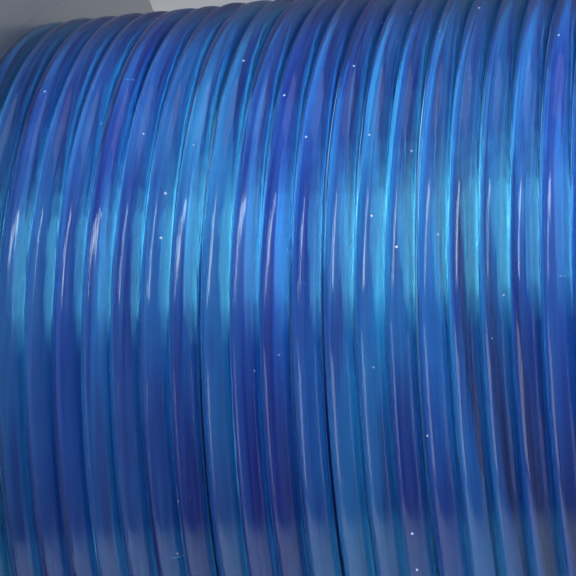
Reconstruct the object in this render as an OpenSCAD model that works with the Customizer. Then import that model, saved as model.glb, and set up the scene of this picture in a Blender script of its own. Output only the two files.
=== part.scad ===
// Leader spool: a built-up plastic spool of heavy fishing monofilament.
// It lies on the flats of its two rims, with its axis along X. The origin is the middle of the arbor bore.

/* [Line] */
// Diameter of the monofilament
line_d = 1.8; // [1.6:0.1:2.2]
// Turns side by side in the top layer
turns = 26; // [20:1:28]
// Spacing of neighbouring turns, in line diameters
lay = 1.07; // [1.02:0.01:1.1]
// Layers of line on the barrel
layers = 7; // [4:1:7]

/* [Spool] */
// Diameter over the flange rims
flange_d = 84; // [84:1:90]
// Height of the rim above the web, on the outer face
rim_rise = 4.3; // [4.3:0.1:6]
// Thickness of the flange web
web_t = 2.2; // [2:0.1:3]
// Outer diameter of the barrel that the line is wound on
barrel_d = 34; // [34:0.5:35]
// Wall thickness of the barrel
barrel_wall = 2; // [1.6:0.1:2.2]
// Half width of the flats that keep the spool from rolling
flat_half = 8; // [6:0.5:9]
// Sight windows in each flange
windows = 6; // [3, 6]
// Line notches in each rim
notches = 4; // [2, 4]

/* [Arbor] */
// Bore that takes the spindle
bore_d = 10; // [8:0.5:10]
// Wall thickness of the arbor tube
arbor_wall = 2; // [1.5:0.1:2]
// Radial clearance of a running fit
running_gap = 0.05; // [0.02:0.01:0.1]

/* [Keeper belt] */
// Width of the elastic belt round the line
belt_w = 5; // [4:0.5:5]
// Thickness of the belt webbing
belt_t = 1.3; // [0.8:0.1:1.5]
// Distance of the belt's middle from the right flange
belt_inset = 5.2; // [5.2:0.1:7]

/* [Hidden] */
$fn = 96;

// Colours
shell_white = [0.90, 0.91, 0.90];
line_blue = [0.10, 0.35, 0.72];
deep_blue = [0.06, 0.18, 0.50];
label_grey = [0.30, 0.36, 0.44];
acetal_black = [0.08, 0.08, 0.09];
steel_grey = [0.75, 0.76, 0.78];
elastic_navy = [0.08, 0.10, 0.18];

// How far a cutting tool runs past the face that it cuts
past = 1;

// Winding
line_r = line_d / 2;
pitch = line_d * lay;
end_gap = 0.1;
half_gap = (turns - 1) * pitch / 2 + line_r + end_gap;
barrel_r = barrel_d / 2;
wound_r = barrel_r + layers * line_d;
top_r = wound_r - line_r;
under_r = top_r - line_d;

// Flange
flange_r = flange_d / 2;
flat_r = sqrt(flange_r * flange_r - flat_half * flat_half);
web_out = half_gap + web_t;
rim_out = web_out + rim_rise;
rim_in = flange_r - 3.5;
rim_round = 1.2;
hole_r = barrel_r - barrel_wall;
well_rib = [27, 27.9];
well_rib_rise = 2.9;
register_rib = [18.9, 19.8];
register_rise = 1.1;
window_r = [20.5, 26.2];
window_half_arc = 12;
drive_holes = 3;
drive_hole_r = 2.1;
drive_circle_r = 23.4;

// Notch: a V mouth in the flat, a slot through the rim, and a crosswise slot that the line lies in
mouth_half = 5;
mouth_low = flange_r - 3;
slot_half = line_r + 0.15;
cross_half = 5;
cross_in = rim_in - line_d - 0.6;
notch_step = 360 / notches;
tag_notch = 180;

// Hub plug
plug_r = hole_r - 0.05;
plug_ring_in = plug_r - 2;
plug_lip_r = 18.5;
plug_lip_t = 1.5;
plug_lip_round = 0.5;
plug_low = half_gap - 8;
plug_face = web_out + plug_lip_t;
boss_r = 9;
spokes = 6;
spoke_t = 1.8;
spoke_inset = 1;

// Arbor
bore_r = bore_d / 2;
arbor_r = bore_r + arbor_wall;
cap_r = 9.4;
cap_round = 0.5;
cap_face = plug_face + 0.15;
arbor_half = cap_face + 1.9;

// Label
label_t = 0.18;
label_in = well_rib[1] + 0.2;
label_out = cross_in - 0.5;

// Line clip, beside the notch that holds the tag end
clip_angle = tag_notch + 17;
clip_pivot_r = rim_in - 7;
clip_reach = 4.6;
clip_tip_r = 2.2;
clip_hub_r = 2.8;
clip_t = 1.2;
clip_base = web_out + line_d + 0.1;
clip_boss_r = 2.6;
clip_label_cut_r = 3.1;
washer_r = 2.3;
washer_face = clip_base + clip_t + 0.05;
rivet_r = 1.2;
rivet_low = half_gap + 0.6;
rivet_head_r = 2.1;
rivet_head_face = washer_face + 0.25;
rivet_head_t = 0.6;

// Start of the line: the hole in the barrel, and the stretch inside it
start_x = -12.5;
start_angle = 120;
start_bend = 3.6;
start_run = 16;

// Tag end of the line: angles from the notch, and how far it stands off the last turn
tag_from = -62;
tag_to = 26;
tag_climb = [-50, -4];
tag_cross = [-8.5, 8.5];
tag_low_r = wound_r + line_r + 0.05;
tag_channel_r = (cross_in + rim_in) / 2;
tag_inner_x = (turns - 1) * pitch / 2;
tag_outer_x = web_out + line_r + 0.05;

// Belt
belt_x = half_gap - belt_inset;
belt_in = wound_r + 0.05;
belt_lap_half_arc = 17;
belt_lap_angle = 232;
tab_foot = belt_in + 2 * belt_t;
tab_top = flat_r - 1.2;
tab_t = 2 * belt_t - 0.2;

// Sides of a swept tube of line
tube_sides = 12;

// Turns the spool's axis from local Z to X. Local X then points down.
module on_axis() {
    rotate([0, 90, 0]) children();
}

// The right side as drawn
module on_right() {
    on_axis() children();
}

// The same, mirrored to the left side
module on_left() {
    mirror([1, 0, 0]) on_axis() children();
}

// Turned to an angle about the axis, and moved out to a radius
module at(angle, radius) {
    rotate([0, 0, angle]) translate([radius, 0, 0]) children();
}

// A ring about the axis, between two radii and two heights
module ring(r0, r1, z0, z1) {
    rotate_extrude() translate([r0, z0]) square([r1 - r0, z1 - z0]);
}

// The same ring with its four edges rounded to radius e
module round_ring(r0, r1, z0, z1, e) {
    rotate_extrude() {
        translate([r0 + e, z0]) square([r1 - r0 - 2 * e, z1 - z0]);
        translate([r0, z0 + e]) square([r1 - r0, z1 - z0 - 2 * e]);
        for (r = [r0 + e, r1 - e], z = [z0 + e, z1 - e])
            translate([r, z]) circle(e, $fn = 32);
    }
}

// A disc with its outer edges rounded to radius e
module round_disc(r1, z0, z1, e) {
    rotate_extrude() {
        translate([0, z0]) square([r1 - e, z1 - z0]);
        translate([0, z0 + e]) square([r1, z1 - z0 - 2 * e]);
        for (z = [z0 + e, z1 - e])
            translate([r1 - e, z]) circle(e, $fn = 32);
    }
}

// A curved slot with round ends
module kidney(r, half_arc, z0, z1) {
    rotate([0, 0, -half_arc])
        rotate_extrude(angle = 2 * half_arc) translate([r[0], z0]) square([r[1] - r[0], z1 - z0]);
    for (a = [-half_arc, half_arc])
        at(a, (r[0] + r[1]) / 2) translate([0, 0, z0]) cylinder(r = (r[1] - r[0]) / 2, h = z1 - z0);
}

// One flat and its line notch, at the rim's lowest point
module notch_cut() {
    low = half_gap - past;
    high = rim_out + past;
    translate([flat_r, -flange_r / 2, low]) cube([flange_r, flange_r, high - low]);
    translate([0, 0, low]) linear_extrude(high - low) {
        polygon([
            [mouth_low, -slot_half], [flange_r, -mouth_half],
            [flange_r, mouth_half], [mouth_low, slot_half]
        ]);
        translate([cross_in, -slot_half]) square([mouth_low - cross_in + past, 2 * slot_half]);
    }
    translate([cross_in, -cross_half, low]) cube([rim_in - cross_in, 2 * cross_half, web_out - low]);
}

// One flange
module flange() {
    difference() {
        union() {
            ring(hole_r, rim_in + rim_round, half_gap, web_out);
            round_ring(rim_in, flange_r, half_gap, rim_out, rim_round);
            ring(well_rib[0], well_rib[1], half_gap + past, web_out + well_rib_rise);
            ring(register_rib[0], register_rib[1], half_gap + past, web_out + register_rise);
        }
        for (i = [0 : windows - 1])
            rotate([0, 0, (i + 0.5) * 360 / windows])
                kidney(window_r, window_half_arc, half_gap - past, web_out + past);
        for (i = [0 : drive_holes - 1])
            at(i * 360 / drive_holes, drive_circle_r) translate([0, 0, half_gap - past])
                cylinder(r = drive_hole_r, h = web_t + 2 * past);
        for (i = [0 : notches - 1])
            rotate([0, 0, i * notch_step]) notch_cut();
    }
}

module left_flange() {
    color(shell_white) on_left() flange();
}

// The right flange also has the boss that the clip is riveted to
module right_flange() {
    color(shell_white) on_right() difference() {
        union() {
            flange();
            at(clip_angle, clip_pivot_r) translate([0, 0, half_gap + past])
                cylinder(r = clip_boss_r, h = clip_base - half_gap - past);
        }
        at(clip_angle, clip_pivot_r) translate([0, 0, rivet_low])
            cylinder(r = rivet_r, h = rim_out - rivet_low);
    }
}

// The tube that the line is wound on, with the hole that the line starts from
module hub_barrel() {
    color(shell_white) on_axis() difference() {
        ring(hole_r, barrel_r, -half_gap, half_gap);
        at(start_angle, hole_r - past) translate([0, 0, start_x]) rotate([0, 90, 0])
            cylinder(r = line_r + 0.05, h = barrel_wall + 2 * past);
    }
}

// A spoked plug that holds a flange on the barrel and carries the arbor tube
module hub_plug() {
    round_ring(plug_ring_in, plug_lip_r, web_out, plug_face, plug_lip_round);
    ring(plug_ring_in, plug_r, plug_low, plug_face - plug_lip_round);
    ring(arbor_r + running_gap, boss_r, plug_low, plug_face);
    for (i = [0 : spokes - 1])
        at(i * 360 / spokes, boss_r - 0.5)
            translate([0, -spoke_t / 2, plug_low + spoke_inset])
                cube([plug_ring_in - boss_r + 1, spoke_t, plug_face - plug_low - 2 * spoke_inset]);
}

module left_hub_plug() {
    color(shell_white) on_left() hub_plug();
}

module right_hub_plug() {
    color(shell_white) on_right() hub_plug();
}

// A printed ring stuck to the web, between the well's rib and the line's channel
module label() {
    ring(label_in, label_out, web_out, web_out + label_t);
}

module left_label() {
    color(label_grey) on_left() label();
}

module right_label() {
    color(label_grey) on_right() difference() {
        label();
        at(clip_angle, clip_pivot_r) translate([0, 0, web_out - past])
            cylinder(r = clip_label_cut_r, h = label_t + 2 * past);
    }
}

// One layer of turns: a sleeve with a round crest for each turn
module turn_layer(centre_r, count) {
    end = (count - 1) * pitch / 2;
    rotate_extrude() {
        translate([centre_r - line_r, -end - line_r]) square([line_r, 2 * end + line_d]);
        for (i = [0 : count - 1])
            translate([centre_r, i * pitch - end]) circle(line_r, $fn = 48);
    }
}

// The layers that the two outer ones hide
module line_inner_layers() {
    color(deep_blue) on_axis()
        ring(barrel_r, under_r - line_r, end_gap - half_gap, half_gap - end_gap);
}

module line_under_layer() {
    color(deep_blue) on_axis() turn_layer(under_r, turns - 1);
}

module line_top_layer() {
    color(line_blue) on_axis() turn_layer(top_r, turns);
}

// A value that runs smoothly from a to b while t crosses the span
function ease(t, span, a, b) =
    let (s = min(1, max(0, (t - span[0]) / (span[1] - span[0])))) a + (b - a) * s * s * (3 - 2 * s);

function unit(v) = v / norm(v);

// The rings of a tube of radius r along the points p. The direction ref is never along the path.
function tube_points(p, r, ref) = [
    for (i = [0 : len(p) - 1])
        let (
            t = unit(p[min(i + 1, len(p) - 1)] - p[max(i - 1, 0)]),
            u = unit(cross(ref, t)),
            v = cross(t, u)
        )
        for (j = [0 : tube_sides - 1])
            p[i] + r * (cos(j * 360 / tube_sides) * u + sin(j * 360 / tube_sides) * v)
];

module tube(p, r, ref) {
    n = tube_sides;
    last = (len(p) - 1) * n;
    faces = concat(
        [[for (j = [0 : n - 1]) j]],
        [[for (j = [n - 1 : -1 : 0]) last + j]],
        [
            for (i = [0 : n : last - n], j = [0 : n - 1])
                let (k = (j + 1) % n) [i + k, i + j, i + n + j, i + n + k]
        ]
    );
    polyhedron(points = tube_points(p, r, ref), faces = faces, convexity = 8);
}

// The line's first end lies inside the barrel, bends, and comes straight out through the hole
start_in_r = hole_r - start_bend;
start_out_r = barrel_r - 0.04;
start_path = concat(
    [for (s = [start_run : -2 : 2]) [start_in_r, 0, start_x + start_bend + s]],
    [
        for (a = [0 : 15 : 90])
            [start_in_r + start_bend * (1 - cos(a)), 0, start_x + start_bend * (1 - sin(a))]
    ],
    [[start_out_r, 0, start_x]]
);

module line_start_tail() {
    color(line_blue) on_axis() rotate([0, 0, start_angle]) tube(start_path, line_r, [0, 1, 0]);
}

// The line's last end climbs off the last turn, slants through the notch, and lies in the channel
tag_path = [
    for (a = [tag_from : 2 : tag_to])
        let (r = ease(a, tag_climb, tag_low_r, tag_channel_r))
        [
            r * cos(tag_notch + a),
            r * sin(tag_notch + a),
            ease(a, tag_cross, tag_inner_x, tag_outer_x)
        ]
];

module line_tag_end() {
    color(line_blue) on_axis() tube(tag_path, line_r, [0, 0, 1]);
}

// The rivet that the clip swivels on
module clip_rivet() {
    color(steel_grey) on_axis() at(clip_angle, clip_pivot_r) {
        translate([0, 0, rivet_low]) cylinder(r = rivet_r, h = rivet_head_face + 0.1 - rivet_low);
        round_disc(rivet_head_r, rivet_head_face, rivet_head_face + rivet_head_t, 0.25);
    }
}

// The washer under its head
module clip_washer() {
    color(steel_grey) on_axis() at(clip_angle, clip_pivot_r)
        ring(rivet_r + running_gap, washer_r, washer_face, rivet_head_face);
}

// The clip that holds the tag end down in its channel
module line_clip() {
    color(acetal_black) on_axis() at(clip_angle, clip_pivot_r) translate([0, 0, clip_base])
        difference() {
            union() {
                cylinder(r = clip_hub_r, h = clip_t);
                translate([0, -clip_tip_r, 0]) cube([clip_reach, 2 * clip_tip_r, clip_t]);
                translate([clip_reach, 0, 0]) cylinder(r = clip_tip_r, h = clip_t);
            }
            translate([0, 0, -past]) cylinder(r = rivet_r + running_gap, h = clip_t + 2 * past);
        }
}

// The tube that the spool turns on
module arbor_tube() {
    color(steel_grey) on_axis() ring(bore_r, arbor_r, -arbor_half, arbor_half);
}

// A collar pressed on the tube's end
module arbor_cap() {
    round_ring(arbor_r, cap_r, cap_face, arbor_half, cap_round);
}

module left_arbor_cap() {
    color(acetal_black) on_left() arbor_cap();
}

module right_arbor_cap() {
    color(acetal_black) on_right() arbor_cap();
}

// The elastic belt round the line, with its ends lapped
module keeper_belt() {
    color(elastic_navy) on_axis() translate([0, 0, belt_x]) {
        ring(belt_in, belt_in + belt_t, -belt_w / 2, belt_w / 2);
        rotate([0, 0, belt_lap_angle - belt_lap_half_arc])
            rotate_extrude(angle = 2 * belt_lap_half_arc)
                translate([belt_in + belt_t / 2, -belt_w / 2]) square([1.5 * belt_t, belt_w]);
    }
}

// The folded tab that the belt is pulled by
module belt_pull_tab() {
    color(elastic_navy) on_axis() at(belt_lap_angle, 0) translate([0, 0, belt_x - belt_w / 2])
        linear_extrude(belt_w) {
            translate([tab_foot, -tab_t / 2]) square([tab_top - tab_t / 2 - tab_foot, tab_t]);
            translate([tab_top - tab_t / 2, 0]) circle(tab_t / 2, $fn = 48);
        }
}

left_flange();
right_flange();
hub_barrel();
left_hub_plug();
right_hub_plug();
left_label();
right_label();
line_inner_layers();
line_under_layer();
line_top_layer();
line_start_tail();
line_tag_end();
clip_rivet();
clip_washer();
line_clip();
arbor_tube();
left_arbor_cap();
right_arbor_cap();
keeper_belt();
belt_pull_tab();
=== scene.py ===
"""Looks for the leader spool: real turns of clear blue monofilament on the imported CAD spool."""

import math
import random

import bpy
import numpy as np
from mathutils import Matrix, Vector


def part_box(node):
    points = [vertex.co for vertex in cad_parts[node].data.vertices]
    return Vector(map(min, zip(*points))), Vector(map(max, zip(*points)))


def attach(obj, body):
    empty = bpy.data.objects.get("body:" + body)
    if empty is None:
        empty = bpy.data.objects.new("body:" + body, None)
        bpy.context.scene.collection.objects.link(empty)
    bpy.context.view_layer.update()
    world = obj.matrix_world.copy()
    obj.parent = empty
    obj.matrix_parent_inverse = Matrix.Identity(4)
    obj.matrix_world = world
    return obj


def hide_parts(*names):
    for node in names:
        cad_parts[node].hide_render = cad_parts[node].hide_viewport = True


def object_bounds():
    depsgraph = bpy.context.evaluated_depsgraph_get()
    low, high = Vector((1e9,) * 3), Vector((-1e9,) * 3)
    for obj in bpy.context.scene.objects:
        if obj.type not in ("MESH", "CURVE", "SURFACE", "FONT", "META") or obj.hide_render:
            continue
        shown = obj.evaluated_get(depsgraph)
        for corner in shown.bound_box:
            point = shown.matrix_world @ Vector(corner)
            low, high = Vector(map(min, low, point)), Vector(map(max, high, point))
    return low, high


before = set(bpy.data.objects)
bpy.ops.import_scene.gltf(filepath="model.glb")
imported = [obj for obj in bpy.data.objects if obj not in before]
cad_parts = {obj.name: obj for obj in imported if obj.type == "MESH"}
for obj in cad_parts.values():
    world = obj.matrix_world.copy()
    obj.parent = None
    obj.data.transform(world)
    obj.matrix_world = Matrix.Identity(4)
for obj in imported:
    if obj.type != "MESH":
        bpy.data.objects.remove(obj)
cad_low, cad_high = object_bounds()

MM = 0.001
SEED = 7

# ---------------------------------------------------------------------------
# Sizes, read from the CAD frame
# ---------------------------------------------------------------------------

TOP_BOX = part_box("line_top_layer")
UNDER_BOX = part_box("line_under_layer")
BELT_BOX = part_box("keeper_belt")
BARREL_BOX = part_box("hub_barrel")
TAG_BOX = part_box("line_tag_end")
LABEL_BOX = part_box("right_label")
TAB_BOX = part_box("belt_pull_tab")

WOUND_R = TOP_BOX[1].z
LINE_R = (TOP_BOX[1].z - UNDER_BOX[1].z) / 2
LINE_D = 2 * LINE_R
TOP_R = WOUND_R - LINE_R
BARREL_R = BARREL_BOX[1].z
LAY_HALF = TOP_BOX[1].x - LINE_R
LAYERS = round((WOUND_R - BARREL_R) / LINE_D)
LAY = 1.07
TURNS = round(2 * LAY_HALF / (LINE_D * LAY)) + 1
FLOOR_Z = cad_low.z
LABEL_OUT = LABEL_BOX[1].y
LABEL_DEPTH = 7.5 * MM

CLEARANCE = 0.05 * MM
BELT_IN = WOUND_R + CLEARANCE
BELT_T = BELT_BOX[1].z - BELT_IN
BELT_W = BELT_BOX[1].x - BELT_BOX[0].x
BELT_X = (BELT_BOX[0].x + BELT_BOX[1].x) / 2

# Angles are measured round the axis, from straight up towards the front
BELT_LAP = math.atan2(-(TAB_BOX[0].y + TAB_BOX[1].y), TAB_BOX[0].z + TAB_BOX[1].z)
BELT_LAP_HALF = math.radians(17)


# ---------------------------------------------------------------------------
# Camera: a long lens, close to the winding, to the right of it and a little above
# ---------------------------------------------------------------------------

VIEW_TURN = 14.5
VIEW_ROLL = 4.1
VIEW_DOWN = 18.0
LENS = 171.0
AXIS_BELOW = 0.334 * WOUND_R
AXIS_AHEAD = 6.40 * WOUND_R
AXIS_SHIFT = -10.0 * MM


def make_camera():
    """Looks at the upper front of the winding. The spool's axis runs below the middle of the picture."""
    turn, roll = math.radians(VIEW_TURN), math.radians(VIEW_ROLL)
    # The spool's axis and the world's up, in the camera's own right, up and back
    along = Vector((math.cos(turn) * math.cos(roll), math.cos(turn) * math.sin(roll), math.sin(turn)))
    foot = Vector((0, -AXIS_BELOW, -AXIS_AHEAD))
    down = math.radians(VIEW_DOWN)
    up = Vector((0, math.cos(down), math.sin(down)))
    up = (up - along * up.dot(along)).normalized()
    depth = up.cross(along)
    cam_to_world = Matrix((along, depth, up))
    origin = Vector((AXIS_SHIFT, 0, 0)) - cam_to_world @ foot
    data = bpy.data.cameras.new("camera")
    data.lens = LENS
    data.sensor_width = 36
    data.clip_start = 0.001
    data.clip_end = 10
    cam = bpy.data.objects.new("camera", data)
    bpy.context.scene.collection.objects.link(cam)
    cam.matrix_world = Matrix.Translation(origin) @ cam_to_world.to_4x4()
    bpy.context.scene.camera = cam


make_camera()


# ---------------------------------------------------------------------------
# Mesh helpers
# ---------------------------------------------------------------------------


def add_mesh(name, points, faces):
    mesh = bpy.data.meshes.new(name)
    mesh.from_pydata(np.asarray(points).tolist(), [], faces)
    mesh.update()
    mesh.polygons.foreach_set("use_smooth", [True] * len(mesh.polygons))
    obj = bpy.data.objects.new(name, mesh)
    bpy.context.scene.collection.objects.link(obj)
    return obj


def join(meshes):
    """Several (points, faces) as one."""
    points, faces, start = [], [], 0
    for some_points, some_faces in meshes:
        points.append(some_points)
        faces.extend(tuple(start + i for i in face) for face in some_faces)
        start += len(some_points)
    return np.concatenate(points), faces


def sweep(path, side_dirs, profile):
    """A closed profile, as (side, other) offsets, carried along the path. Other is ahead x side.

    The profile is the same all along the path, or there is one for each point of it.
    """
    path, side, profile = np.asarray(path), np.asarray(side_dirs), np.asarray(profile)
    if profile.ndim == 2:
        profile = np.broadcast_to(profile, (len(path), *profile.shape))
    ahead = np.gradient(path, axis=0)
    ahead /= np.linalg.norm(ahead, axis=1)[:, None]
    side = side - ahead * np.sum(side * ahead, axis=1)[:, None]
    side /= np.linalg.norm(side, axis=1)[:, None]
    other = np.cross(ahead, side)
    ring = profile[..., :1] * side[:, None, :] + profile[..., 1:] * other[:, None, :]
    points = (path[:, None, :] + ring).reshape(-1, 3)
    sides = profile.shape[1]
    last = (len(path) - 1) * sides
    faces = [
        (i + j, i + (j + 1) % sides, i + sides + (j + 1) % sides, i + sides + j)
        for i in range(0, last, sides)
        for j in range(sides)
    ]
    faces.append(tuple(range(sides - 1, -1, -1)))
    faces.append(tuple(range(last, last + sides)))
    return points, faces


def circle(radius, sides):
    angle = np.arange(sides) * 2 * math.pi / sides
    return radius * np.stack([np.cos(angle), np.sin(angle)], axis=1)


def ease(t, start, end, a, b):
    """Runs smoothly from a to b while t goes from start to end."""
    s = np.clip((np.asarray(t) - start) / (end - start), 0, 1)
    return a + (b - a) * s * s * (3 - 2 * s)


def around(x, angle, r):
    """Points at an angle round the axis, and the outward unit vectors."""
    out = np.stack([np.zeros_like(x), -np.sin(angle), np.cos(angle)], axis=1)
    return out * np.asarray(r)[:, None] + np.stack([x, 0 * x, 0 * x], axis=1), out


def smooth_noise(rng, count, step):
    """count values of smooth noise from -1 to 1, with a new random value every step samples."""
    knots = np.array([rng.uniform(-1, 1) for _ in range(count // step + 3)])
    k, t = np.divmod(np.arange(count), step)
    return ease(t / step, 0, 1, knots[k], knots[k + 1])


# ---------------------------------------------------------------------------
# The line: a helix in each layer. The top one ends in the tag end, held in the right rim's notch
# ---------------------------------------------------------------------------

TOP_SEGMENTS = 150
TOP_SIDES = 22
HIDDEN_SEGMENTS = 84
HIDDEN_SIDES = 10
GAP_CHOICES = (0.0, 0.1, 0.2, 1.0, 2.2)
TOP_LIFT = 0.20 * MM

# Pressed stretches: how deep, how many turns from one noise value to the next, and the values where
# pressing starts and is full
PRESS_DEPTH = 0.12 * LINE_R
PRESS_LONG = 0.3
PRESS_FROM_TO = (0.0, 0.5)

TAG_LEAVES = math.radians(-88)
TAG_CLIMB = (math.radians(-50), math.radians(-4))
TAG_CROSS = math.radians(8.5)
TAG_END = math.radians(26)
TAG_LOW_R = WOUND_R + LINE_R + CLEARANCE
TAG_HIGH_R = TAG_BOX[1].z - LINE_R
TAG_OUT_X = TAG_BOX[1].x - LINE_R


def lay_turns(rng, turns, segments):
    """How far along the spool each sample of a layer lies.

    No turn overlaps the one before it, and the gaps between turns vary.
    """
    count = turns * segments
    group = np.array([rng.choice(GAP_CHOICES) for _ in range(2 * turns + 3)])
    knot = segments // 2
    k, t = np.divmod(np.arange(count), knot)
    gap = ease(t / knot, 0, 1, group[k], group[k + 1]).reshape(turns, segments)
    spare = 2 * LAY_HALF - turns * LINE_D
    share = spare * (turns - 1) / turns / np.maximum(gap[1:].sum(axis=0), 1e-6)
    ramp = np.arange(segments) / segments
    gap = gap * (share + (share[0] - share[-1]) * (ramp - 0.5))[None, :]
    x = np.zeros((turns, segments))
    x[0] = (LINE_D + gap[1, 0]) * ramp
    for i in range(1, turns):
        x[i] = x[i - 1] + LINE_D + gap[i]
    x = x.ravel()
    return x - (x[0] + x[-1]) / 2


def layer_path(seed, turns, segments, centre_r, lead, start, lift=0.0):
    rng = random.Random(seed)
    x = lead * lay_turns(rng, turns, segments)
    angle = start + np.arange(len(x)) * 2 * math.pi / segments
    clear_of_belt = ease(x, BELT_BOX[0].x - 2 * MM, BELT_BOX[0].x, 1, 0)
    wander = 0.5 + 0.5 * smooth_noise(rng, len(x), int(segments * 0.7))
    return x, angle, centre_r + lift * clear_of_belt * wander


def pressed(profile, seed, count):
    """The profile at each sample, pressed a little flat on its outer side for a stretch here and there."""
    noise = smooth_noise(random.Random(seed), count, int(TOP_SEGMENTS * PRESS_LONG))
    depth = ease(noise, *PRESS_FROM_TO, 0, PRESS_DEPTH)
    profiles = np.repeat(profile[None], count, axis=0)
    profiles[..., 0] = np.minimum(profiles[..., 0], (LINE_R - depth)[:, None])
    return profiles


def tag_path(from_x):
    """From the end of the top layer, up off the last turn, through the notch and along the channel."""
    angle = np.arange(TAG_LEAVES, TAG_END, math.radians(1.5))
    r = ease(angle, TAG_LEAVES, TAG_CLIMB[0], TOP_R, TAG_LOW_R)
    r += ease(angle, *TAG_CLIMB, 0, TAG_HIGH_R - TAG_LOW_R)
    return ease(angle, -TAG_CROSS, TAG_CROSS, from_x, TAG_OUT_X), angle, r


def make_top_turns():
    """Stops the helix one sample short of the place where the tag end takes over."""
    x, angle, r = layer_path(SEED, TURNS, TOP_SEGMENTS, TOP_R, 1, TAG_LEAVES, TOP_LIFT)
    tag_x, tag_angle, tag_r = tag_path(x[-1])
    turned = TURNS * 2 * math.pi
    path, out = around(
        np.concatenate([x, tag_x]), np.concatenate([angle, tag_angle + turned]), np.concatenate([r, tag_r])
    )
    profiles = pressed(circle(LINE_R, TOP_SIDES), SEED + 20, len(path))
    return add_mesh("line_top_turns", *sweep(path, out, profiles))


def make_under_turns():
    path, out = around(*layer_path(SEED + 1, TURNS - 1, TOP_SEGMENTS, TOP_R - LINE_D, -1, 1.0))
    return add_mesh("line_under_turns", *sweep(path, out, circle(LINE_R, TOP_SIDES)))


def make_inner_turns():
    meshes = []
    for i in range(LAYERS - 2):
        turns, lead = (TURNS, 1) if i % 2 == 0 else (TURNS - 1, -1)
        centre_r = BARREL_R + LINE_R + i * LINE_D
        path, out = around(*layer_path(SEED + 2 + i, turns, HIDDEN_SEGMENTS, centre_r, lead, 2.0 * i))
        meshes.append(sweep(path, out, circle(LINE_R, HIDDEN_SIDES)))
    return add_mesh("line_inner_turns", *join(meshes))


top = make_top_turns()
under = make_under_turns()
inner = make_inner_turns()
for piece, node in ((top, "line_top_layer"), (under, "line_under_layer"), (inner, "line_inner_layers")):
    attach(piece, "spool")
    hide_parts(node)
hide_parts("line_tag_end")


# ---------------------------------------------------------------------------
# The keeper belt: one length of ribbed elastic, lapped and stitched, with a folded tab
# ---------------------------------------------------------------------------

BELT_CORDS = 7
CORD_DEPTH = 0.11 * MM
TAB_GAP = 0.08 * MM
TAB_DROP = 1.2 * MM
TAB_LEG_STEPS = 14
TAB_BEND_STEPS = 22
STITCH_R = 0.16 * MM
STITCH_LONG = 0.62 * MM
STITCH_STEP = 1.5 * STITCH_LONG
STITCH_ANGLES = (-13.5, -11.0, 11.0, 13.5)


def webbing_profile(thickness, width, across=56):
    """A flat band with cords along it and thinner edges, as (side, other) offsets."""
    other = np.linspace(-0.5, 0.5, across)
    edge = 1 - 0.6 * np.abs(2 * other) ** 10
    cords = CORD_DEPTH * (1 - np.abs(np.sin(math.pi * BELT_CORDS * (other + 0.5))))
    half = thickness / 2 * edge - cords * edge
    outer = np.stack([half, other * width], axis=1)
    return np.concatenate([outer, np.stack([-half, other * width], axis=1)[::-1]])


def make_belt():
    lap_in = 2 * math.pi + BELT_LAP - BELT_LAP_HALF
    angle = np.linspace(BELT_LAP - BELT_LAP_HALF, BELT_LAP + BELT_LAP_HALF + 2 * math.pi, 460)
    r = BELT_IN + BELT_T / 2 + ease(angle, lap_in - math.radians(7), lap_in - math.radians(0.5), 0, BELT_T)
    path, out = around(np.full_like(angle, BELT_X), angle, r)
    return add_mesh("belt_webbing", *sweep(path, out, webbing_profile(BELT_T, BELT_W)))


def make_tab():
    """A strip folded back on itself, standing on the lap."""
    out = np.array([0, -math.sin(BELT_LAP), math.cos(BELT_LAP)])
    across = np.array([0, -math.cos(BELT_LAP), -math.sin(BELT_LAP)])
    leg_t = BELT_T - 0.15 * MM
    offset = leg_t / 2 + TAB_GAP
    foot = BELT_IN + 2 * BELT_T
    bend = -FLOOR_Z - TAB_DROP - offset - leg_t / 2
    up = np.linspace(foot, bend, TAB_LEG_STEPS, endpoint=False)
    turn = np.linspace(0, math.pi, TAB_BEND_STEPS)
    rise = np.concatenate([up, np.full(TAB_BEND_STEPS, bend), up[::-1]])
    turn = np.concatenate([0 * up, turn, np.full(TAB_LEG_STEPS, math.pi)])
    side = -np.cos(turn)[:, None] * across + np.sin(turn)[:, None] * out
    path = rise[:, None] * out + offset * side + np.array([BELT_X, 0, 0])
    return add_mesh("belt_tab_webbing", *sweep(path, side, webbing_profile(leg_t, BELT_W)))


def make_stitches():
    """Rows of short stitches across the lap."""
    meshes = []
    top_r = BELT_IN + 2 * BELT_T - CORD_DEPTH / 2
    for degrees in STITCH_ANGLES:
        count = int(BELT_W / STITCH_STEP)
        for i in range(count):
            s = np.linspace(-0.5, 0.5, 7)
            x = BELT_X + (i - (count - 1) / 2) * STITCH_STEP + s * STITCH_LONG
            angle = np.full_like(x, BELT_LAP + math.radians(degrees))
            path, out = around(x, angle, top_r + STITCH_R * (0.8 - 5 * s * s))
            meshes.append(sweep(path, out, circle(STITCH_R, 8)))
    return add_mesh("belt_stitches", *join(meshes))


belt, tab, stitches = make_belt(), make_tab(), make_stitches()
for piece in (belt, tab, stitches):
    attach(piece, "belt")
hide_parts("keeper_belt")
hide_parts("belt_pull_tab")


# ---------------------------------------------------------------------------
# Material helpers
# ---------------------------------------------------------------------------


def rgb(r, g, b):
    return (r, g, b, 1.0)


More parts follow.
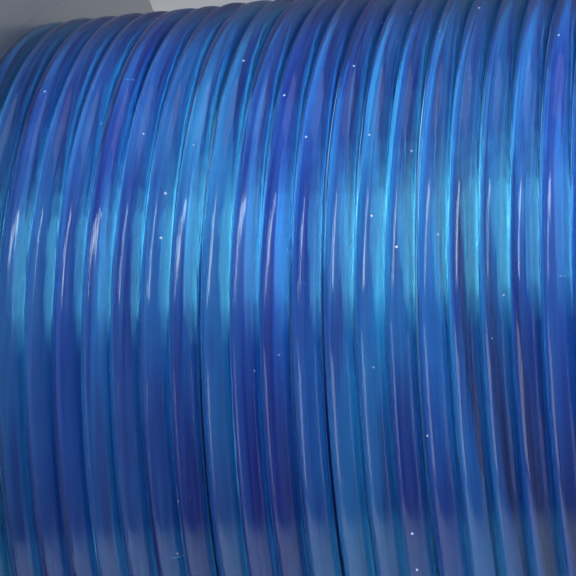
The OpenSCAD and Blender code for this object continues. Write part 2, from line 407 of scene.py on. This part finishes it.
class Nodes:
    """A material's node tree, built a node at a time."""

    def __init__(self, name):
        self.material = bpy.data.materials.new(name)
        self.material.use_nodes = True
        self.tree = self.material.node_tree
        self.tree.nodes.clear()
        self.out = self.tree.nodes.new("ShaderNodeOutputMaterial")
        self.place = self.add("ShaderNodeTexCoord").outputs["Object"]

    def add(self, kind, inputs=(), **settings):
        node = self.tree.nodes.new(kind)
        for key, value in settings.items():
            setattr(node, key, value)
        for key, value in dict(inputs).items():
            socket = node.inputs[key]
            if isinstance(value, bpy.types.NodeSocket):
                self.tree.links.new(value, socket)
            else:
                socket.default_value = value
        return node

    def math(self, operation, a, b=0.0, c=0.0):
        return self.add("ShaderNodeMath", {0: a, 1: b, 2: c}, operation=operation).outputs[0]

    def noise(self, scale, stretch=(1, 1, 1), detail=3.0):
        """Noise with scale features to the metre, stretched along the object's axes."""
        place = self.add("ShaderNodeMapping", {"Vector": self.place, "Scale": stretch})
        return self.add(
            "ShaderNodeTexNoise", {"Vector": place.outputs[0], "Scale": scale, "Detail": detail}
        ).outputs["Fac"]

    def ramp(self, value, low, high, a=0.0, b=1.0):
        return self.add(
            "ShaderNodeMapRange",
            {"Value": value, "From Min": low, "From Max": high, "To Min": a, "To Max": b},
        ).outputs["Result"]

    def mix(self, factor, a, b):
        return self.add("ShaderNodeMix", {0: factor, 6: a, 7: b}, data_type="RGBA").outputs[2]

    def bump(self, height, distance, strength=1.0):
        return self.add(
            "ShaderNodeBump", {"Height": height, "Distance": distance, "Strength": strength}
        ).outputs[0]

    def polar(self):
        """Distance from the spool's axis, the angle round it, and the place along it."""
        xyz = self.add("ShaderNodeSeparateXYZ", {0: self.place})
        x, y, z = xyz.outputs
        square = self.math("ADD", self.math("MULTIPLY", y, y), self.math("MULTIPLY", z, z))
        return self.math("SQRT", square), self.math("ARCTAN2", y, z), x

    def finish(self, **inputs):
        """Ends the tree in one Principled shader."""
        shader = self.add("ShaderNodeBsdfPrincipled", {k.replace("_", " "): v for k, v in inputs.items()})
        self.link(shader.outputs[0], self.out.inputs["Surface"])
        return self.material

    def link(self, source, target):
        self.tree.links.new(source, target)


# ---------------------------------------------------------------------------
# Materials
# ---------------------------------------------------------------------------


NYLON_IOR = 1.53


def line_material(name, scatter, dark, light):
    """Clear blue nylon. Light that a turn bends away from its edges leaves bands on the turns below.

    Scatter is how cloudy the turn is, and dark and light are the colours of its cloudiness. For the turns
    below, a high scatter and a pale light colour are painted light: they stand in for light focused
    through the turns above.
    """
    m = Nodes(name)
    streaks = m.noise(3600, (1, 0.015, 0.015), 2.0)
    swells = m.noise(300, (1, 0.2, 0.2), 2.0)
    strands = m.noise(330, (1, 0.06, 0.06), 1.0)
    normal = m.bump(m.math("ADD", m.math("MULTIPLY", streaks, 0.75), swells), 0.06 * MM, 0.5)
    tint = m.mix(m.ramp(strands, 0.38, 0.62), rgb(0.09, 0.43, 0.80), rgb(0.15, 0.70, 0.88))
    clear = m.add(
        "ShaderNodeBsdfPrincipled",
        {
            "Base Color": tint,
            "Roughness": m.ramp(swells, 0.35, 0.65, 0.04, 0.10),
            "IOR": NYLON_IOR,
            "Transmission Weight": 1.0,
            "Normal": normal,
        },
    )
    specks = m.add("ShaderNodeTexVoronoi", {"Vector": m.place, "Scale": 520.0})
    dust = m.ramp(specks.outputs["Distance"], 0.035, 0.05, 1.0, 0.0)
    # For the turns below, the pale light colour of this cloud is painted light, standing in for light
    # focused through the turns above
    cloud_and_painted_light = m.mix(m.ramp(streaks, 0.35, 0.65), rgb(*dark), rgb(*light))
    body = m.add(
        "ShaderNodeBsdfPrincipled",
        {
            "Base Color": m.mix(dust, cloud_and_painted_light, rgb(0.5, 0.6, 0.75)),
            "Roughness": 0.22,
            "IOR": NYLON_IOR,
            "Normal": normal,
        },
    )
    amount = m.math("MAXIMUM", scatter, m.math("MULTIPLY", dust, 0.7))
    mixed = m.add("ShaderNodeMixShader", {0: amount, 1: clear.outputs[0], 2: body.outputs[0]})
    facing = m.add("ShaderNodeLayerWeight", {"Blend": 0.5}).outputs["Facing"]
    through = m.mix(m.ramp(facing, 0.07, 0.24), rgb(0.95, 1.0, 1.0), rgb(0.03, 0.08, 0.30))
    pass_on = m.add("ShaderNodeBsdfTransparent", {"Color": through})
    shadow = m.add("ShaderNodeLightPath").outputs["Is Shadow Ray"]
    shader = m.add("ShaderNodeMixShader", {0: shadow, 1: mixed.outputs[0], 2: pass_on.outputs[0]})
    m.link(shader.outputs[0], m.out.inputs["Surface"])
    return m.material


def shell_material():
    """Moulded white polystyrene: glossy, with flow marks, a fine texture and light scuffs."""
    m = Nodes("shell")
    flow = m.noise(60, (1, 1, 1), 2.0)
    grain = m.noise(5200, (1, 1, 1), 2.0)
    scuffs = m.ramp(m.noise(700, (1, 0.12, 1), 5.0), 0.60, 0.70)
    colour = m.mix(flow, rgb(0.60, 0.63, 0.64), rgb(0.68, 0.69, 0.68))
    colour = m.mix(m.math("MULTIPLY", scuffs, 0.35), colour, rgb(0.47, 0.49, 0.49))
    rough = m.math("ADD", m.ramp(flow, 0.3, 0.7, 0.20, 0.30), m.math("MULTIPLY", scuffs, 0.2))
    height = m.math("ADD", grain, m.math("MULTIPLY", scuffs, -0.4))
    return m.finish(Base_Color=colour, Roughness=rough, IOR=1.59, Normal=m.bump(height, 0.02 * MM, 0.5))


def label_material():
    """A blank printed ring: pale borders, a deep blue field, a lighter band, and a dial of ticks."""
    m = Nodes("label")
    r, angle, _ = m.polar()
    t = m.ramp(r, LABEL_OUT - LABEL_DEPTH, LABEL_OUT)
    fibres = m.noise(2600, (1, 1, 0.4), 4.0)
    field = m.mix(m.ramp(m.math("SINE", m.math("MULTIPLY", angle, 3.0)), -0.2, 0.2),
                  rgb(0.03, 0.10, 0.26), rgb(0.05, 0.22, 0.46))
    turn = m.math("FRACT", m.math("MULTIPLY", angle, 72 / (2 * math.pi)))
    tick = m.math("MULTIPLY", m.math("LESS_THAN", turn, 0.16),
                  m.math("COMPARE", t, 0.84, 0.05))
    lines = m.math("MAXIMUM", m.math("COMPARE", t, 0.72, 0.012), m.math("COMPARE", t, 0.20, 0.012))
    border = m.math("MAXIMUM", m.math("LESS_THAN", t, 0.07), m.math("GREATER_THAN", t, 0.94))
    ink = m.math("MAXIMUM", m.math("MAXIMUM", tick, lines), border)
    colour = m.mix(ink, field, rgb(0.74, 0.75, 0.73))
    colour = m.mix(m.math("MULTIPLY", fibres, 0.12), colour, rgb(0.5, 0.5, 0.5))
    return m.finish(Base_Color=colour, Roughness=m.ramp(fibres, 0.3, 0.7, 0.32, 0.46),
                    Normal=m.bump(fibres, 0.015 * MM, 0.4))


def acetal_material(name, rough_low, rough_high, grain_scale):
    m = Nodes(name)
    grain = m.noise(grain_scale, (1, 1, 1), 3.0)
    wear = m.ramp(m.noise(900, (1, 1, 0.3), 5.0), 0.60, 0.72)
    colour = m.mix(m.math("MULTIPLY", wear, 0.5), rgb(0.014, 0.014, 0.016), rgb(0.06, 0.06, 0.065))
    return m.finish(Base_Color=colour, Roughness=m.ramp(grain, 0.35, 0.65, rough_low, rough_high),
                    IOR=1.48, Normal=m.bump(grain, 0.03 * MM, 0.6))


def metal_material(name, colour, stretch):
    """Turned metal: fine rings from the tool, and a few brighter and duller patches."""
    m = Nodes(name)
    rings = m.noise(9000, stretch, 2.0)
    patches = m.noise(300)
    shade = m.mix(m.math("MULTIPLY", patches, 0.35), rgb(*colour), rgb(*(0.75 * c for c in colour)))
    rough = m.math("ADD", m.ramp(rings, 0.35, 0.65, 0.18, 0.34), m.ramp(patches, 0.3, 0.7, 0.0, 0.08))
    return m.finish(Base_Color=shade, Metallic=1.0, Roughness=rough, Normal=m.bump(rings, 0.01 * MM, 0.6))


def webbing_material():
    """Woven navy elastic: cords along it, crossed by fine weft, with a slightly fuzzy sheen."""
    m = Nodes("webbing")
    _, angle, x = m.polar()
    weft = m.math("SINE", m.math("MULTIPLY", angle, 620.0))
    warp = m.math("SINE", m.math("MULTIPLY", x, 2 * math.pi * 2 * BELT_CORDS / BELT_W))
    weave = m.math("MULTIPLY", weft, warp)
    fuzz = m.noise(7000, (1, 1, 1), 4.0)
    # Painted shade: the colour is darker where the weave and fuzz sit low and lighter where they stand up,
    # from the same heights as the bump
    shade = m.ramp(m.math("ADD", weave, m.math("MULTIPLY", fuzz, 1.2)), -0.8, 1.8)
    colour = m.mix(shade, rgb(0.012, 0.02, 0.05), rgb(0.06, 0.09, 0.19))
    height = m.math("ADD", weave, fuzz)
    return m.finish(Base_Color=colour, Roughness=0.82, Sheen_Weight=0.35, Sheen_Roughness=0.4,
                    Normal=m.bump(height, 0.05 * MM, 0.8))


def thread_material():
    m = Nodes("thread")
    twist = m.noise(9000, (0.25, 1, 1), 3.0)
    # Painted shade: the thread is darker where its twist sits low and lighter where it stands up, from the
    # same noise as the bump
    colour = m.mix(twist, rgb(0.45, 0.50, 0.60), rgb(0.72, 0.75, 0.80))
    return m.finish(Base_Color=colour, Roughness=0.6, Normal=m.bump(twist, 0.03 * MM, 0.7))


SMOOTH_UP_TO = math.radians(35)


def paint(material, *nodes):
    """Puts a material on CAD nodes, and shades their curves smoothly up to their real edges."""
    for node in nodes:
        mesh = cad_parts[node].data
        mesh.materials.clear()
        mesh.materials.append(material)
        mesh.polygons.foreach_set("material_index", [0] * len(mesh.polygons))
        mesh.polygons.foreach_set("use_smooth", [True] * len(mesh.polygons))
        mesh.set_sharp_from_angle(angle=SMOOTH_UP_TO)


LINE = line_material("line", 0.09, (0.05, 0.05, 0.32), (0.12, 0.18, 0.54))
# The turns below get a paler, much cloudier copy of the line: painted light, standing in for light focused
# through the turns above
LINE_BELOW_PAINTED_LIGHT = line_material("line_below_painted_light", 0.80, (0.05, 0.09, 0.40), (0.38, 0.64, 0.88))
WEBBING = webbing_material()
STEEL = metal_material("steel", (0.62, 0.62, 0.63), (0.05, 1, 1))
top.data.materials.append(LINE)
for piece in (under, inner):
    piece.data.materials.append(LINE_BELOW_PAINTED_LIGHT)
for piece in (belt, tab):
    piece.data.materials.append(WEBBING)
stitches.data.materials.append(thread_material())

paint(LINE, "line_start_tail")
paint(shell_material(), "left_flange", "right_flange", "hub_barrel", "left_hub_plug", "right_hub_plug")
paint(label_material(), "left_label", "right_label")
paint(acetal_material("clip", 0.18, 0.32, 3500), "line_clip")
paint(acetal_material("collar", 0.42, 0.62, 6000), "left_arbor_cap", "right_arbor_cap")
paint(STEEL, "clip_rivet", "clip_washer")
paint(metal_material("arbor", (0.80, 0.81, 0.82), (1, 0.02, 0.02)), "arbor_tube")


# ---------------------------------------------------------------------------
# Floor, lights
# ---------------------------------------------------------------------------


def make_floor():
    size = 1.5
    floor = add_mesh(
        "floor",
        [(-size, -size, FLOOR_Z), (size, -size, FLOOR_Z), (size, size, FLOOR_Z), (-size, size, FLOOR_Z)],
        [(0, 1, 2, 3)],
    )
    m = Nodes("floor")
    grain = m.noise(180, (1, 1, 1), 4.0)
    floor.data.materials.append(
        m.finish(Base_Color=m.mix(grain, rgb(0.47, 0.48, 0.51), rgb(0.52, 0.53, 0.56)), Roughness=0.65)
    )


make_floor()


def soft_box(name, lift, side, distance, size, watts, colour=(1, 1, 1), glint=True, through=True):
    """An area light aimed at the spool: side degrees to the right, and lift degrees up from the front.

    A light without a glint isn't mirrored in any surface. It still shows through the clear line,
    as bands on the far side of each turn, unless through is False.
    """
    e, a = math.radians(lift), math.radians(side)
    place = Vector((math.sin(a), -math.cos(a) * math.cos(e), math.cos(a) * math.sin(e))) * distance
    data = bpy.data.lights.new(name, "AREA")
    data.shape = "RECTANGLE"
    data.size, data.size_y = size
    data.energy = watts
    data.color = colour
    light = bpy.data.objects.new(name, data)
    bpy.context.scene.collection.objects.link(light)
    light.location = place
    light.rotation_mode = "QUATERNION"
    light.rotation_quaternion = place.to_track_quat("Z", "Y")
    light.visible_camera = False
    light.visible_glossy = glint
    light.visible_transmission = through


soft_box("key", 69, -24, 0.62, (0.06, 0.32), 0.55, (0.72, 0.90, 1.0))
soft_box("key_strip", 69, -36, 0.62, (0.02, 0.30), 0.14, (0.72, 0.90, 1.0))
# The three lamps stand one behind another, so the bands that they make fade at both ends
soft_box("lamp", 70, -7, 0.62, (0.42, 0.34), 1.7, (1.0, 1.0, 0.94), glint=False)
soft_box("lamp_glow", 71, -6, 0.63, (0.36, 0.50), 1.2, (0.96, 1.0, 0.94), glint=False)
soft_box("lamp_rim", 72, -5, 0.64, (0.30, 0.66), 0.9, (0.96, 1.0, 0.94), glint=False)
soft_box("wash", 60, -23, 0.62, (0.25, 0.31), 3.8, (1.0, 1.0, 0.96), glint=False, through=False)
soft_box("top_panel", 106, 4, 0.80, (0.50, 0.32), 0.3, (0.96, 0.94, 1.0))
soft_box("fill", 25, -60, 0.9, (0.4, 0.4), 1.3, (0.70, 0.80, 1.0))


def make_world():
    """A dim, slightly violet room. The camera itself sees a pale backdrop beyond the floor."""
    world = bpy.data.worlds.new("world")
    bpy.context.scene.world = world
    world.use_nodes = True
    tree = world.node_tree
    room = tree.nodes["Background"]
    room.inputs["Color"].default_value = rgb(0.66, 0.64, 0.85)
    room.inputs["Strength"].default_value = 0.14
    backdrop = tree.nodes.new("ShaderNodeBackground")
    backdrop.inputs["Color"].default_value = rgb(0.62, 0.63, 0.65)
    seen = tree.nodes.new("ShaderNodeLightPath")
    either = tree.nodes.new("ShaderNodeMixShader")
    tree.links.new(seen.outputs["Is Camera Ray"], either.inputs[0])
    tree.links.new(room.outputs[0], either.inputs[1])
    tree.links.new(backdrop.outputs[0], either.inputs[2])
    tree.links.new(either.outputs[0], tree.nodes["World Output"].inputs["Surface"])


make_world()
bpy.context.scene.view_settings.view_transform = "Standard"
